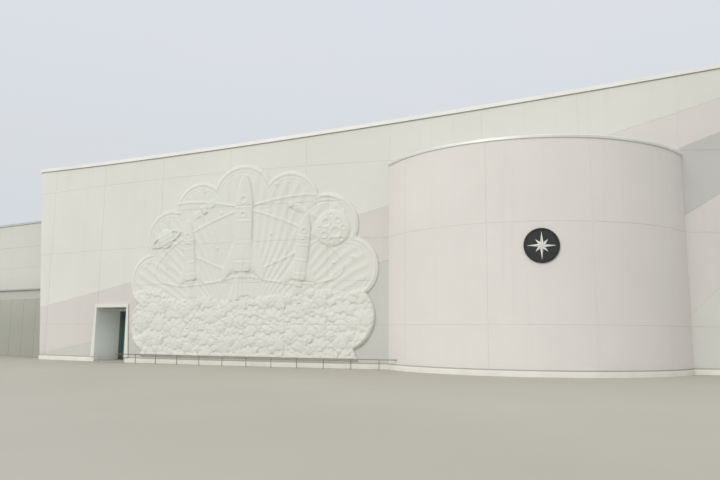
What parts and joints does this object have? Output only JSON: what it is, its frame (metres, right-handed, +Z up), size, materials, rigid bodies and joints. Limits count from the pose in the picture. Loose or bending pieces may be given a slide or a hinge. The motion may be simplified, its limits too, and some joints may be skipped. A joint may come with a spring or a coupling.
{
  "type": "exhibition hall building, 1:2 scale model",
  "caption": "Exhibition hall with a long curved panelled front, rising coping, bowed drum bay, relief panel, recessed glazed entry, low rail, low side wing and roof hatch.",
  "frame": {"origin": "on the ground, in the middle of the building's own box", "axes": "+X along the front to the right, +Y to the back, +Z up; the curved front faces -Y"},
  "size_m": [24.8802, 10.2738, 7.3557],
  "materials": {
    "wall_ivory": "fine painted render in panels, with ivory, warm grey and cool grey bands",
    "drum_paint": "smooth painted render, faintly warm grey",
    "white_trim": "satin white paint",
    "relief_white": "matt white cast relief",
    "grey_metal": "satin grey metal",
    "dark_metal": "satin dark bronze paint",
    "teal_glass": "tinted glass",
    "reveal_grey": "smooth grey paint",
    "rail_steel": "satin steel",
    "roof_membrane": "pale roofing sheet",
    "floor_concrete": "floated concrete"
  },
  "bodies": {
    "building": {"wall_bay_1": "wall_ivory", "wall_bay_entry": "wall_ivory", "wall_bay_2": "wall_ivory", "wall_bay_3": "wall_ivory", "wall_bay_4": "wall_ivory", "wall_over_drum_1": "wall_ivory", "wall_over_drum_2": "wall_ivory", "wall_over_drum_3": "wall_ivory", "wall_bay_5": "wall_ivory", "wall_bay_6": "wall_ivory", "wall_end_left": "wall_ivory", "wall_end_right": "wall_ivory", "side_wall_left": "wall_ivory", "side_wall_right": "wall_ivory", "rear_wall": "wall_ivory", "wing_front_wall": "wall_ivory", "wing_end_wall": "wall_ivory", "wing_rear_wall": "wall_ivory", "drum_panel_1": "drum_paint", "drum_panel_2": "drum_paint", "drum_panel_3": "drum_paint", "drum_panel_4": "drum_paint", "drum_panel_5": "drum_paint", "coping_1": "white_trim", "coping_2": "white_trim", "coping_3": "white_trim", "coping_4": "white_trim", "plinth_left": "white_trim", "plinth_middle": "white_trim", "plinth_right": "white_trim", "plinth_drum": "white_trim", "entry_surround": "white_trim", "relief_panel": "relief_white", "drum_cap": "grey_metal", "wing_coping": "grey_metal", "wing_ledge": "grey_metal", "hatch_curb": "grey_metal", "medallion": "dark_metal", "entry_door_frame": "dark_metal", "rear_door_frame": "dark_metal", "entry_reveal_left": "reveal_grey", "entry_reveal_right": "reveal_grey", "entry_soffit": "reveal_grey", "entry_back_wall": "reveal_grey", "low_rail": "rail_steel", "roof_deck": "roof_membrane", "drum_roof": "roof_membrane", "wing_roof": "roof_membrane", "floor_slab": "floor_concrete", "wing_floor": "floor_concrete"},
    "entry_door_left": {"entry_door_left": "dark_metal", "entry_glass_left": "teal_glass"},
    "entry_door_right": {"entry_door_right": "dark_metal", "entry_glass_right": "teal_glass"},
    "rear_door": {"rear_door": "dark_metal"},
    "hatch_lid": {"hatch_lid": "grey_metal"}
  },
  "joints": [
    {"name": "entry_door_left_hinge", "type": "hinge", "parent": "building", "child": "entry_door_left", "pos_m": [-6.25375, -1.88308, 0.0253], "axis": [0, 0, -1], "range_deg": [0, 90]},
    {"name": "entry_door_right_hinge", "type": "hinge", "parent": "building", "child": "entry_door_right", "pos_m": [-5.3518, -2.0743, 0.0253], "axis": [0, 0, 1], "range_deg": [0, 90]},
    {"name": "rear_door_hinge", "type": "hinge", "parent": "building", "child": "rear_door", "pos_m": [5.86813, 5.09289, 0.0253], "axis": [0, 0, -1], "range_deg": [0, 100]},
    {"name": "hatch_lid_hinge", "type": "hinge", "parent": "building", "child": "hatch_lid", "pos_m": [6.62213, 2.90289, 5.693], "axis": [-1, 0, 0], "range_deg": [0, 80]}
  ]
}
